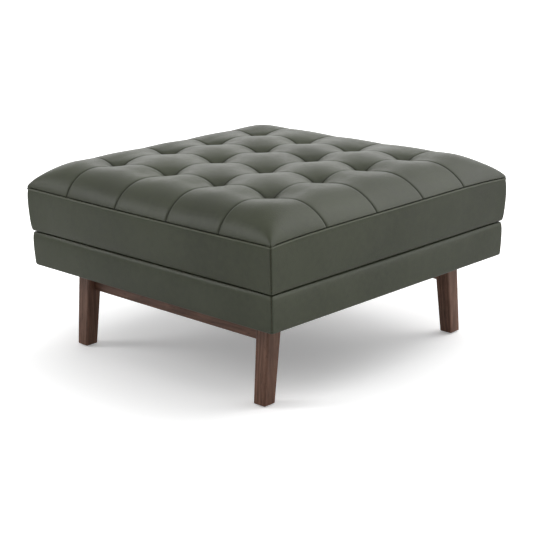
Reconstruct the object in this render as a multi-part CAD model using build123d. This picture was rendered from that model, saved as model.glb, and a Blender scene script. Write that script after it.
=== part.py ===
from build123d import *
import math
import os

# A square tufted leather ottoman: a blind-tufted cushion on a leather-covered box,
# carried by four splayed wooden legs with a wooden rail between each pair.
# Millimetres, +Z up, origin on the floor under the middle of the ottoman.
# The front is the -Y side, and the right-hand side is +X.

# Sizes of the covering and of the fits
leather_thickness = 2.0
fabric_thickness = 1.0
fit_gap = 0.3
screw_clearance = 0.2
cut_overrun = 10.0

# Sizes of the leather-covered box
box_width = 792.0
box_height = 84.0
box_corner_radius = 10.0
box_top_round = 5.0
box_bottom_round = 8.0
box_turn_in = 30.0
box_pad_thickness = 6.0

# Sizes of the timber frame inside the box
board_thickness = 20.0
deck_thickness = 12.0
batten_width = 70.0
batten_thickness = 24.0
block_leg = 60.0
dust_cover_margin = 14.0

# Sizes of the cushion
cushion_overhang = 3.0
cushion_side_height = 110.0
cushion_side_bulge = 6.0
cushion_bulge_drop = 35.0
cushion_foot_draw = 1.5
cushion_sole_draw = 11.0
cushion_sole_round = 8.0
cushion_corner_radius = 12.0
cushion_turn_in = 30.0
cushion_board_thickness = 12.0
crown_height = 56.0
crown_ease = 1.0
crest_inset = 85.0

# Sizes of the tufting
tufts_each_way = 4
tuft_depth = 30.0
tuft_mouth_radius = 60.0
tuft_core_radius = 3.0
seam_dip = 5.0
twine_radius = 1.0
tuft_washer_radius = 9.0
tuft_washer_thickness = 1.6
tuft_knot_radius = 2.5
tuft_knot_height = 2.0
tuft_recess_depth = 5.0

# Sizes of the legs and rails
leg_height = 198.0
leg_top_size = 41.0
leg_foot_size = 34.5
leg_edge_radius = 5.0
leg_foot_round = 2.5
leg_splay = 21.0
leg_inset_x = 96.0
leg_inset_y = 91.0
rail_height = 61.0
rail_thickness = 16.0
rail_setback = 15.7
rail_edge_radius = 2.0
dowel_radius = 4.0
dowel_length = 32.0
dowel_depth_in_leg = 12.0

# Sizes of the fasteners and glides
glide_radius = 11.0
glide_stand = 2.5
glide_edge_round = 1.0
glide_pin_radius = 1.5
glide_pin_length = 14.0
bolt_radius = 4.0
bolt_depth_in_leg = 40.0
bolt_end_above_nut = 4.0
bolt_washer_radius = 12.0
bolt_washer_thickness = 1.6
bolt_nut_width = 13.0
bolt_nut_height = 6.5
frame_screw_radius = 2.2
frame_screw_head_radius = 4.2
frame_screw_head_height = 2.6
frame_screw_length = 50.0
deck_screw_length = 38.0
deck_screws_each_side = 3
cushion_screw_length = 25.0
cushion_screw_head_height = 3.0

# Shares of the sizes above, chosen by eye
bulge_middle_share = 0.75
tuft_pitch_x_share = 0.2055
tuft_pitch_y_share = 0.1942
crown_angle_shares = (0.25, 0.5, 0.75)
rail_dowel_shares = (0.32, 0.68)
frame_screw_shares = (0.28, 0.72)
deck_screw_span_share = 0.72

# Heights worked out from the sizes above
box_bottom_z = leg_height
box_top_z = box_bottom_z + box_height
box_skin_bottom_z = box_bottom_z + fabric_thickness
frame_bottom_z = box_skin_bottom_z + leather_thickness
deck_top_z = box_top_z - leather_thickness
deck_bottom_z = deck_top_z - deck_thickness
batten_top_z = frame_bottom_z + batten_thickness
cushion_skin_bottom_z = box_top_z + fabric_thickness
cushion_board_bottom_z = cushion_skin_bottom_z + leather_thickness
cushion_board_top_z = cushion_board_bottom_z + cushion_board_thickness
edge_seam_z = box_top_z + cushion_side_height
bulge_z = edge_seam_z - cushion_bulge_drop
foot_z = cushion_skin_bottom_z + cushion_sole_round
crest_z = edge_seam_z + crown_height
tuft_bottom_z = crest_z - tuft_depth
rail_bottom_z = leg_height - rail_height

# Places worked out from the sizes above, measured from the middle
box_half = box_width / 2
board_outer = box_half - leather_thickness - fit_gap - box_pad_thickness
board_inner = board_outer - board_thickness
cushion_width = box_width + 2 * cushion_overhang
edge_seam_half = cushion_width / 2
bulge_half = edge_seam_half + cushion_side_bulge
foot_half = edge_seam_half - cushion_foot_draw
sole_half = edge_seam_half - cushion_sole_draw
cushion_board_half = sole_half - leather_thickness - fit_gap
tuft_steps = [i - (tufts_each_way - 1) / 2 for i in range(tufts_each_way)]
tuft_pitch_x = cushion_width * tuft_pitch_x_share
tuft_pitch_y = cushion_width * tuft_pitch_y_share
tuft_places_x = [tuft_pitch_x * step for step in tuft_steps]
tuft_places_y = [tuft_pitch_y * step for step in tuft_steps]
crest_half = edge_seam_half - crest_inset
leg_place_x = box_half - leg_inset_x
leg_place_y = box_half - leg_inset_y
rail_outer_y = leg_place_y + leg_top_size / 2 - rail_setback
rail_middle_y = rail_outer_y - rail_thickness / 2
cushion_screw_x = tuft_places_x[-1] - tuft_pitch_x / 2
cushion_screw_y = tuft_places_y[-1] - tuft_pitch_y / 2
deck_screw_reach = board_inner * deck_screw_span_share

# Names of the four sides, with the turn about +Z that brings the right side to each
SIDES = {"right": 0, "back": 90, "left": 180, "front": 270}

# Names of the four corners, with the signs of X and Y there
CORNERS = {
    "front_left": (-1, -1),
    "front_right": (1, -1),
    "back_left": (-1, 1),
    "back_right": (1, 1),
}


def square_at(half, radius, z):
    """A flat square with rounded corners, lying at height z."""
    return Pos(0, 0, z) * RectangleRounded(2 * half, 2 * half, radius)


def block(x_low, x_high, y_low, y_high, z_low, z_high):
    """A rectangular block between two opposite corners."""
    size = Box(x_high - x_low, y_high - y_low, z_high - z_low)
    return Pos((x_low + x_high) / 2, (y_low + y_high) / 2, (z_low + z_high) / 2) * size


def rod(x, y, z_low, z_high, radius):
    """An upright round rod, and the cutter for its hole."""
    return Pos(x, y, (z_low + z_high) / 2) * Cylinder(radius, z_high - z_low)


def side_wedge(turn):
    """The quarter of all space that faces one side, split off along the diagonals."""
    reach = bulge_half + cut_overrun
    corner_low = (reach, -reach)
    corner_high = (reach, reach)
    triangle = make_face(Polyline((0, 0), corner_low, corner_high, close=True))
    return Rot(0, 0, turn) * extrude(triangle, crest_z + cut_overrun)


def tuft_grid():
    """The plan places of all the tufts."""
    return [(x, y) for x in tuft_places_x for y in tuft_places_y]


# The cushion's form, drawn in all round by an inset

def cushion_sides(inset):
    """The cushion's drawn-in sides, from its sole up to the edge seam."""
    middle_z = (foot_z + bulge_z) / 2
    middle_half = foot_half + bulge_middle_share * (bulge_half - foot_half)
    stations = [
        (cushion_skin_bottom_z + inset, sole_half),
        (foot_z, foot_half),
        (middle_z, middle_half),
        (bulge_z, bulge_half),
        (edge_seam_z, edge_seam_half),
    ]
    radius = cushion_corner_radius - inset
    return loft([square_at(half - inset, radius, z) for z, half in stations])


def cushion_crown(inset):
    """The rolled edge above the seam, as a plain dome with a level top."""
    rise = crown_height + crown_ease - inset
    run = edge_seam_half - crest_half
    radius = cushion_corner_radius - inset
    sections = [square_at(edge_seam_half - inset, radius, edge_seam_z)]
    for share in crown_angle_shares:
        angle = share * math.pi / 2
        half = crest_half - inset + run * math.cos(angle)
        z = edge_seam_z + rise * math.sin(angle)
        sections.append(square_at(half, radius + (edge_seam_half - inset - half), z))
    sections.append(square_at(crest_half - inset, radius + run, edge_seam_z + rise))
    return loft(sections)


def pillow_rows(tuft_places, inset):
    """A block whose top swells between seams that run along Y through the tuft places."""
    seam_z = crest_z - seam_dip - inset
    pillow_z = crest_z - inset
    last_seam = edge_seam_half + cut_overrun
    seams = [-last_seam] + tuft_places + [last_seam]
    start = (seams[0], edge_seam_z - cut_overrun)
    end = (seams[-1], edge_seam_z - cut_overrun)
    edges = [Line(start, (seams[0], seam_z))]
    for low, high in zip(seams, seams[1:]):
        edges.append(ThreePointArc((low, seam_z), ((low + high) / 2, pillow_z), (high, seam_z)))
    edges.append(Line((seams[-1], seam_z), end))
    edges.append(Line(end, start))
    profile = Plane.XZ * make_face(edges)
    return extrude(profile, last_seam, both=True)


def tuft_hollow(inset):
    """The cutter for one tuft: a trumpet mouth that closes on the tuft's stitch."""
    reach = tuft_mouth_radius - tuft_core_radius
    swell = (reach ** 2 + tuft_depth ** 2) / (2 * tuft_depth)
    swell_centre_z = crest_z - swell
    swell_inset = swell - inset
    bottom_z = tuft_bottom_z - inset
    bottom_rise = bottom_z - swell_centre_z
    core = tuft_mouth_radius - math.sqrt(swell_inset ** 2 - bottom_rise ** 2)
    turn = (math.pi / 2 + math.acos(bottom_rise / swell_inset) + math.pi / 2) / 2
    middle = (
        tuft_mouth_radius + swell_inset * math.cos(turn),
        swell_centre_z + swell_inset * math.sin(turn),
    )
    rim = (tuft_mouth_radius, crest_z - inset)
    top_z = crest_z + cut_overrun
    profile = make_face([
        Line((0, bottom_z), (core, bottom_z)),
        ThreePointArc((core, bottom_z), middle, rim),
        Line(rim, (tuft_mouth_radius, top_z)),
        Line((tuft_mouth_radius, top_z), (0, top_z)),
        Line((0, top_z), (0, bottom_z)),
    ])
    return revolve(Plane.XZ * profile, Axis.Z)


def cushion_top(inset):
    """The tufted top above the edge seam."""
    rows = pillow_rows(tuft_places_x, inset)
    cross_rows = Rot(0, 0, 90) * pillow_rows(tuft_places_y, inset)
    top = cushion_crown(inset) & rows & cross_rows
    hollow = tuft_hollow(inset)
    return top - [Pos(x, y, 0) * hollow for x, y in tuft_grid()]


# The cushion's pieces

def tufted_top():
    """The top cover: leather squares sewn together and drawn down at each tuft."""
    return cushion_top(0) - cushion_top(leather_thickness)


def cushion_boxing():
    """The four side panels of the cushion's cover, turned in under the board, by side."""
    skin = cushion_sides(0) - cushion_sides(leather_thickness)
    opening_half = sole_half - cushion_turn_in
    skin -= block(-opening_half, opening_half, -opening_half, opening_half,
                  box_top_z, cushion_board_top_z)
    return {side: skin & side_wedge(turn) for side, turn in SIDES.items()}


def cushion_foam():
    """The foam core, as tufted as its cover, with a bore for each tuft's twine."""
    inset = leather_thickness + fit_gap
    reach = bulge_half + cut_overrun
    above_board = block(-reach, reach, -reach, reach, cushion_board_top_z, crest_z + cut_overrun)
    core = (cushion_sides(inset) & above_board) + cushion_top(inset)
    bore = twine_radius + screw_clearance
    return core - [rod(x, y, cushion_board_top_z, tuft_bottom_z, bore) for x, y in tuft_grid()]


def cushion_board():
    """The plywood board under the foam, recessed below for the tuft washers."""
    board = extrude(square_at(cushion_board_half, cushion_corner_radius, cushion_board_bottom_z),
                    cushion_board_thickness)
    recess_top_z = cushion_board_bottom_z + tuft_recess_depth
    bore = twine_radius + screw_clearance
    recess = tuft_washer_radius + screw_clearance
    for x, y in tuft_grid():
        board -= rod(x, y, cushion_board_bottom_z, cushion_board_top_z, bore)
        board -= rod(x, y, cushion_board_bottom_z, recess_top_z, recess)
    return board - cushion_screw_holes()


def cushion_under_cover():
    """The fabric under the cushion, between its board and the box."""
    under = extrude(square_at(sole_half - cushion_sole_round, cushion_corner_radius, box_top_z),
                    fabric_thickness)
    return under - cushion_screw_holes()


def tuft_washers():
    """The washers that hold the tufts' twine under the board."""
    top_z = cushion_board_bottom_z + tuft_recess_depth
    bottom_z = top_z - tuft_washer_thickness
    bore = twine_radius + screw_clearance
    return [
        rod(x, y, bottom_z, top_z, tuft_washer_radius) - rod(x, y, bottom_z, top_z, bore)
        for x, y in tuft_grid()
    ]


def tuft_twines():
    """The twine of each tuft, knotted under its washer."""
    top_z = tuft_bottom_z - leather_thickness
    washer_bottom_z = cushion_board_bottom_z + tuft_recess_depth - tuft_washer_thickness
    knot_bottom_z = washer_bottom_z - tuft_knot_height
    return [
        rod(x, y, washer_bottom_z, top_z, twine_radius)
        + rod(x, y, knot_bottom_z, washer_bottom_z, tuft_knot_radius)
        for x, y in tuft_grid()
    ]


def cushion_screw_tip_z():
    """The height of the points of the screws that hold the cushion down."""
    return deck_bottom_z + cushion_screw_length


def cushion_screw_places():
    """The plan places of the screws that hold the cushion to the deck."""
    return [(sx * cushion_screw_x, sy * cushion_screw_y) for sx, sy in CORNERS.values()]


def cushion_screw_holes():
    """The cutters for the screws that hold the cushion down."""
    radius = frame_screw_radius + screw_clearance
    tip_z = cushion_screw_tip_z() + screw_clearance
    return [rod(x, y, deck_bottom_z, tip_z, radius) for x, y in cushion_screw_places()]


def cushion_screws():
    """The screws that hold the cushion to the deck, their heads below the deck."""
    head_z = deck_bottom_z - cushion_screw_head_height
    return [
        rod(x, y, head_z, deck_bottom_z, frame_screw_head_radius)
        + rod(x, y, deck_bottom_z, cushion_screw_tip_z(), frame_screw_radius)
        for x, y in cushion_screw_places()
    ]


# The box's pieces

def box_form(inset):
    """The leather box's outer form, with its rounded edges, drawn in by an inset."""
    bottom_z = box_skin_bottom_z + inset
    height = box_top_z - inset - bottom_z
    body = extrude(square_at(box_half - inset, box_corner_radius - inset, bottom_z), height)
    top_edges = body.faces().sort_by(Axis.Z)[-1].edges()
    body = fillet(top_edges, box_top_round - inset)
    bottom_edges = body.faces().sort_by(Axis.Z)[0].edges()
    return fillet(bottom_edges, box_bottom_round - inset)


def box_covers():
    """The four leather sides of the box, turned in over the deck and under the frame."""
    skin = box_form(0) - box_form(leather_thickness)
    opening_half = box_half - box_turn_in
    skin -= block(-opening_half, opening_half, -opening_half, opening_half, box_bottom_z, box_top_z)
    return {side: skin & side_wedge(turn) for side, turn in SIDES.items()}


def box_pad(turn):
    """One strip of thin padding between a frame board and the leather."""
    reach = box_half - box_corner_radius
    bottom_z = frame_bottom_z + box_bottom_round
    top_z = deck_top_z - box_top_round
    strip = block(board_outer, board_outer + box_pad_thickness, -reach, reach, bottom_z, top_z)
    return Rot(0, 0, turn) * strip


def frame_board_long(turn):
    """The front or back board of the frame, full width, with its screw holes."""
    board = block(board_inner, board_outer, -board_outer, board_outer, frame_bottom_z, deck_bottom_z)
    return (Rot(0, 0, turn) * board) - frame_screw_cutters() - deck_screw_cutters()


def frame_board_short(turn):
    """The left or right board of the frame, between the front and back boards."""
    board = block(board_inner, board_outer, -board_inner, board_inner, frame_bottom_z, deck_bottom_z)
    return (Rot(0, 0, turn) * board) - frame_screw_cutters() - deck_screw_cutters()


def support_batten(side_sign):
    """The batten across the frame that one pair of legs is bolted to."""
    middle = side_sign * leg_place_x
    batten = block(middle - batten_width / 2, middle + batten_width / 2,
                   -board_inner, board_inner, frame_bottom_z, batten_top_z)
    return batten - frame_screw_cutters() - leg_bolt_cutters(batten_top_z)


def corner_block(sx, sy):
    """The glued triangular block that stiffens one corner of the frame."""
    corner = (sx * board_inner, sy * board_inner)
    along_x = (sx * (board_inner - block_leg), sy * board_inner)
    along_y = (sx * board_inner, sy * (board_inner - block_leg))
    triangle = make_face(Polyline(corner, along_x, along_y, close=True))
    return extrude(Pos(0, 0, batten_top_z) * triangle, deck_bottom_z - batten_top_z)


def deck_panel():
    """The plywood deck on top of the frame."""
    panel = block(-board_outer, board_outer, -board_outer, board_outer, deck_bottom_z, deck_top_z)
    reach = box_half - leather_thickness - box_top_round
    corner_radius = board_outer - reach + box_corner_radius
    panel = fillet(panel.edges().filter_by(Axis.Z), corner_radius)
    return panel - deck_screw_cutters() - cushion_screw_holes()


def dust_cover():
    """The fabric that closes the underside of the box."""
    half = box_half - dust_cover_margin
    cover = extrude(square_at(half, box_corner_radius, box_bottom_z), fabric_thickness)
    return cover - leg_bolt_cutters(box_skin_bottom_z)


def screw(length, head_radius, head_height, radius):
    """A countersunk screw along +X, its flat head's face at the origin."""
    head = Pos(head_height / 2, 0, 0) * Rot(0, 90, 0) * Cone(head_radius, radius, head_height)
    shank_length = length - head_height
    shank = Pos(head_height + shank_length / 2, 0, 0) * Rot(0, 90, 0) * Cylinder(radius, shank_length)
    return head + shank


def frame_screw_set(clearance):
    """The frame's screws, driven through the front and back boards, or their cutters."""
    form = screw(frame_screw_length, frame_screw_head_radius + clearance,
                 frame_screw_head_height, frame_screw_radius + clearance)
    board_height = deck_bottom_z - frame_bottom_z
    side_x = board_outer - board_thickness / 2
    heights = [frame_bottom_z + share * board_height for share in frame_screw_shares]
    places = [(sx * side_x, z) for sx in (-1, 1) for z in heights]
    places += [(sx * leg_place_x, frame_bottom_z + batten_thickness / 2) for sx in (-1, 1)]
    front = [Pos(x, -board_outer, z) * Rot(0, 0, 90) * form for x, z in places]
    back = [Pos(x, board_outer, z) * Rot(0, 0, -90) * form for x, z in places]
    return front + back


def frame_screw_cutters():
    """The holes for the frame's screws."""
    return frame_screw_set(screw_clearance)


def frame_screws():
    """The screws that join the frame's boards and battens."""
    return frame_screw_set(0)


def deck_screw_set(clearance):
    """The deck's screws, driven down into the frame boards, or their cutters."""
    form = Rot(0, 90, 0) * screw(deck_screw_length, frame_screw_head_radius + clearance,
                                 frame_screw_head_height, frame_screw_radius + clearance)
    middle = board_outer - board_thickness / 2
    step = 2 * deck_screw_reach / (deck_screws_each_side - 1)
    screws = []
    for turn in SIDES.values():
        for i in range(deck_screws_each_side):
            place = Pos(middle, i * step - deck_screw_reach, deck_top_z)
            screws.append(Rot(0, 0, turn) * place * form)
    return screws


def deck_screw_cutters():
    """The holes for the deck's screws."""
    return deck_screw_set(screw_clearance)


def deck_screws():
    """The countersunk screws that hold the deck to the frame."""
    return deck_screw_set(0)


# The legs' pieces

def leg_form(sx, sy):
    """A tapered leg with soft edges, splayed out to the front or back."""
    top = Pos(sx * leg_place_x, sy * leg_place_y, leg_height)
    foot = Pos(sx * leg_place_x, sy * (leg_place_y + leg_splay), glide_stand)
    foot_radius = leg_edge_radius * leg_foot_size / leg_top_size
    leg = loft([
        foot * RectangleRounded(leg_foot_size, leg_foot_size, foot_radius),
        top * RectangleRounded(leg_top_size, leg_top_size, leg_edge_radius),
    ])
    return fillet(leg.faces().sort_by(Axis.Z)[0].edges(), leg_foot_round)


def leg(sx, sy):
    """One wooden leg, bored for its bolt, its glide's pin and the rail's dowels."""
    foot_y = sy * (leg_place_y + leg_splay)
    pin_top_z = glide_stand + glide_pin_length + screw_clearance
    body = leg_form(sx, sy) - rail_dowel_cutters()
    body -= leg_bolt_cutters(leg_height)
    body -= rod(sx * leg_place_x, foot_y, 0, pin_top_z, glide_pin_radius + screw_clearance)
    return body


def rail(sy):
    """The wooden rail between the two front or the two back legs."""
    y_outer = sy * rail_outer_y
    y_inner = sy * (rail_outer_y - rail_thickness)
    body = block(-leg_place_x, leg_place_x, min(y_outer, y_inner), max(y_outer, y_inner),
                 rail_bottom_z, leg_height)
    lower_edges = body.faces().sort_by(Axis.Z)[0].edges().filter_by(Axis.X)
    body = fillet(lower_edges, rail_edge_radius)
    for sx in (-1, 1):
        body -= leg_form(sx, sy)
    return body - rail_dowel_cutters()


def leg_inner_x(z):
    """The distance from the middle of the ottoman to a leg's inner face at height z."""
    share = (z - glide_stand) / (leg_height - glide_stand)
    return leg_place_x - (leg_foot_size + share * (leg_top_size - leg_foot_size)) / 2


def rail_dowel_set(clearance):
    """The dowels between the rails and the legs, or their cutters."""
    dowels = []
    for share in rail_dowel_shares:
        z = rail_bottom_z + share * rail_height
        end_x = leg_inner_x(z) + dowel_depth_in_leg + clearance
        length = dowel_length + 2 * clearance
        dowel = Rot(0, 90, 0) * Cylinder(dowel_radius + clearance, length)
        for sx, sy in CORNERS.values():
            dowels.append(Pos(sx * (end_x - length / 2), sy * rail_middle_y, z) * dowel)
    return dowels


def rail_dowel_cutters():
    """The holes for the rails' dowels."""
    return rail_dowel_set(screw_clearance)


def rail_dowels():
    """The dowels that join the rails to the legs."""
    return rail_dowel_set(0)


def leg_bolt_places():
    """The plan places of the bolts in the tops of the legs."""
    return [(sx * leg_place_x, sy * leg_place_y) for sx, sy in CORNERS.values()]


def leg_bolt_cutters(top_z):
    """The holes for the leg bolts, up to a given height."""
    bottom_z = leg_height - bolt_depth_in_leg - screw_clearance
    radius = bolt_radius + screw_clearance
    return [rod(x, y, bottom_z, top_z, radius) for x, y in leg_bolt_places()]


def leg_bolts():
    """The headless bolts that stand out of the tops of the legs."""
    top_z = batten_top_z + bolt_washer_thickness + bolt_nut_height + bolt_end_above_nut
    bottom_z = leg_height - bolt_depth_in_leg
    return [rod(x, y, bottom_z, top_z, bolt_radius) for x, y in leg_bolt_places()]


def leg_washers():
    """The washers under the nuts of the leg bolts."""
    top_z = batten_top_z + bolt_washer_thickness
    bore = bolt_radius + screw_clearance
    return [
        rod(x, y, batten_top_z, top_z, bolt_washer_radius) - rod(x, y, batten_top_z, top_z, bore)
        for x, y in leg_bolt_places()
    ]


def leg_nuts():
    """The six-sided nuts that clamp the legs to the battens."""
    bottom_z = batten_top_z + bolt_washer_thickness
    hexagon = RegularPolygon(bolt_nut_width / 2, 6, major_radius=False)
    blank = extrude(Pos(0, 0, bottom_z) * hexagon, bolt_nut_height)
    blank -= rod(0, 0, bottom_z, bottom_z + bolt_nut_height, bolt_radius)
    return [Pos(x, y, 0) * blank for x, y in leg_bolt_places()]


def floor_glides():
    """The nail-on glides under the feet."""
    disc = extrude(Circle(glide_radius), glide_stand)
    disc = fillet(disc.faces().sort_by(Axis.Z)[0].edges(), glide_edge_round)
    glide = disc + rod(0, 0, glide_stand, glide_stand + glide_pin_length, glide_pin_radius)
    foot_y = leg_place_y + leg_splay
    return [Pos(sx * leg_place_x, sy * foot_y, 0) * glide for sx, sy in CORNERS.values()]


def as_list(shape):
    """The separate solids of a shape, or of a list of shapes."""
    if isinstance(shape, list):
        return [solid for item in shape for solid in as_list(item)]
    return list(shape.solids())


def all_parts():
    """Every piece of the ottoman, by its name."""
    parts = {
        "tufted_top": tufted_top(),
        "cushion_foam": cushion_foam(),
        "cushion_board": cushion_board(),
        "cushion_under_cover": cushion_under_cover(),
        "cushion_screws": cushion_screws(),
        "tuft_washers": tuft_washers(),
        "tuft_twines": tuft_twines(),
        "deck_panel": deck_panel(),
        "deck_screws": deck_screws(),
        "dust_cover": dust_cover(),
        "frame_screws": frame_screws(),
        "batten_left": support_batten(-1),
        "batten_right": support_batten(1),
        "front_rail": rail(-1),
        "back_rail": rail(1),
        "rail_dowels": rail_dowels(),
        "leg_bolts": leg_bolts(),
        "leg_washers": leg_washers(),
        "leg_nuts": leg_nuts(),
        "floor_glides": floor_glides(),
    }
    parts.update({"boxing_" + side: panel for side, panel in cushion_boxing().items()})
    parts.update({"box_cover_" + side: panel for side, panel in box_covers().items()})
    parts.update({"box_pad_" + side: box_pad(turn) for side, turn in SIDES.items()})
    for side in ("front", "back"):
        parts["frame_board_" + side] = frame_board_long(SIDES[side])
    for side in ("left", "right"):
        parts["frame_board_" + side] = frame_board_short(SIDES[side])
    for corner, (sx, sy) in CORNERS.items():
        parts["leg_" + corner] = leg(sx, sy)
        parts["corner_block_" + corner] = corner_block(sx, sy)
    return parts


os.makedirs("parts", exist_ok=True)
for name, shape in all_parts().items():
    solids = as_list(shape)
    piece = solids[0] if len(solids) == 1 else Compound(children=solids)
    export_step(piece, os.path.join("parts", name + ".step"))
    print(name, len(solids), round(piece.volume), "mm3")
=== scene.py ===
# %% [markdown]
# # A tufted leather ottoman, in cells
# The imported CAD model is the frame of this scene: it says where every board, leg, screw and
# cushion form sits. It loads first, and nothing in it is moved. The leather, the padding and
# the finishes are then made around it, in metres, in the same place.

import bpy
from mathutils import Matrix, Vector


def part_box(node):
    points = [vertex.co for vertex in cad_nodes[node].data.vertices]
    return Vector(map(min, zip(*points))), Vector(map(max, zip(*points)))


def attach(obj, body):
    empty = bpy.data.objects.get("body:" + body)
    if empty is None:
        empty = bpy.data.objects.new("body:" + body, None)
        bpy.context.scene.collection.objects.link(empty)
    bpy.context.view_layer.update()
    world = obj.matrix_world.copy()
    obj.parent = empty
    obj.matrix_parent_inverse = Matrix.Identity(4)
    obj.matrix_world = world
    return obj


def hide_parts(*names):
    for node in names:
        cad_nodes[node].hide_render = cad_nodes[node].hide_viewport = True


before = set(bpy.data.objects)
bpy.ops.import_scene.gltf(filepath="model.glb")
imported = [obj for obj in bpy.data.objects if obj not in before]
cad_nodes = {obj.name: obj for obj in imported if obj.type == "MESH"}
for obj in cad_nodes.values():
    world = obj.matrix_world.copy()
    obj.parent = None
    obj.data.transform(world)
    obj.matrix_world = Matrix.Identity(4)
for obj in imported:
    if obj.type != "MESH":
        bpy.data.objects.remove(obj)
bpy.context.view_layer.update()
print("CAD nodes:", len(cad_nodes))

# %% Tools and units
import math

import bmesh
import bpy
from mathutils import Matrix, Vector, noise

mm = 0.001


def new_object(name, data):
    """Puts a new object into the scene."""
    made = bpy.data.objects.new(name, data)
    bpy.context.collection.objects.link(made)
    return made

# %% [markdown]
# ## The camera
# A product photograph is taken with a long lens from a few metres away, so that parallel
# edges stay nearly parallel. The lens, the distance and the small roll of the camera set
# how the ottoman stands in the picture, so they come before any modelling.

# %% Camera
camera_azimuth = math.radians(44.5745)
camera_elevation = math.radians(16.4384)
camera_roll = math.radians(1.0769)
camera_place = Vector((2.4953, -2.5393, 1.2315))
sensor_width = 36.0
lens_length = 103.907

towards_viewer = Vector((
    math.sin(camera_azimuth) * math.cos(camera_elevation),
    -math.cos(camera_azimuth) * math.cos(camera_elevation),
    math.sin(camera_elevation),
))
camera_data = bpy.data.cameras.new("camera")
camera_data.sensor_width = sensor_width
camera_data.lens = lens_length
camera = new_object("camera", camera_data)
level_view = towards_viewer.to_track_quat("Z", "Y").to_matrix()
rolled_view = level_view @ Matrix.Rotation(-camera_roll, 3, "Z")
camera.matrix_world = Matrix.Translation(camera_place) @ rolled_view.to_4x4()
bpy.context.scene.camera = camera
bpy.context.scene.view_settings.view_transform = "Standard"
print("camera at", tuple(camera_place), "with a lens of", round(camera_data.lens, 1), "mm")

# %% [markdown]
# ## Small helpers for node trees
# A procedural finish is a tree of nodes. These helpers keep the trees short to read: one adds
# a node and fills its sockets, by a value or by a link, one starts an empty tree, one ends it
# with a surface, and the others stand for the sums that every finish needs.

# %% Node helpers
def add(tree, kind, settings=None, **inputs):
    """Adds a node; an input that is another node's socket is linked, and a value is set."""
    made = tree.nodes.new(kind)
    for key, value in (settings or {}).items():
        setattr(made, key, value)
    for key, value in inputs.items():
        label = int(key[1:]) if key[0] == "_" else key.replace("_", " ")
        socket = made.inputs[label]
        if isinstance(value, bpy.types.NodeSocket):
            tree.links.new(value, socket)
        else:
            socket.default_value = value
    return made


def blank_material(name):
    """A material with an empty tree and its output node."""
    material = bpy.data.materials.new(name)
    material.use_nodes = True
    tree = material.node_tree
    tree.nodes.clear()
    return material, tree, tree.nodes.new("ShaderNodeOutputMaterial")


def surface(tree, output, **inputs):
    """Ends a material's tree with one Principled shader."""
    shader = add(tree, "ShaderNodeBsdfPrincipled", **inputs)
    tree.links.new(shader.outputs[0], output.inputs[0])


def object_place(tree):
    """The place of a shaded point in its object's own axes, as a socket."""
    return add(tree, "ShaderNodeTexCoord").outputs["Object"]

# %% Sums in a node tree
def math_node(tree, operation, first, second=0.0, clamp=False):
    """One sum on two values, as a socket."""
    return add(tree, "ShaderNodeMath", {"operation": operation, "use_clamp": clamp},
               _0=first, _1=second).outputs[0]


def weighted_sum(tree, first, first_share, second, second_share):
    """Two values, each by its share, added and kept from 0 to 1, as a socket."""
    return math_node(tree, "ADD", math_node(tree, "MULTIPLY", first, first_share),
                     math_node(tree, "MULTIPLY", second, second_share), clamp=True)


def mix_colours(tree, share, low, high):
    """The colour between two colours, as a socket."""
    return add(tree, "ShaderNodeMix", {"data_type": "RGBA"},
               _0=share, _6=low, _7=high).outputs[2]


def tinted(colour, strength, lift=0.0):
    """A colour made darker or lighter by a factor, and lifted."""
    return tuple(min(1.0, strength * channel + lift) for channel in colour[:3]) + (1.0,)


def remap(tree, value, low, high, to_low=0.0, to_high=1.0):
    """A value spread from one range to another and clamped, as a socket."""
    return add(tree, "ShaderNodeMapRange", Value=value, From_Min=low, From_Max=high,
               To_Min=to_low, To_Max=to_high).outputs[0]

# %% [markdown]
# A pattern that several finishes use, such as grain or edge wear, is built once as a node
# group with named inputs and outputs. Each material then places it with values of its own.

# %% Group helpers
def new_group(name, inputs, outputs):
    """A node group with named inputs, and named outputs that are all numbers."""
    group = bpy.data.node_groups.new(name, "ShaderNodeTree")
    for label, kind, value in inputs:
        socket = group.interface.new_socket(label, in_out="INPUT", socket_type=kind)
        if value is not None:
            socket.default_value = value
    for label in outputs:
        group.interface.new_socket(label, in_out="OUTPUT", socket_type="NodeSocketFloat")
    print("group:", name, "puts out", outputs)
    return group, group.nodes.new("NodeGroupInput"), group.nodes.new("NodeGroupOutput")


def link_out(group, group_out, *sockets):
    """Links sockets to a group's outputs, in their order."""
    for index, socket in enumerate(sockets):
        group.links.new(socket, group_out.inputs[index])


def place_group(tree, group, **inputs):
    """Puts a group into a tree and fills its inputs."""
    return add(tree, "ShaderNodeGroup", {"node_tree": group}, **inputs)
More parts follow.
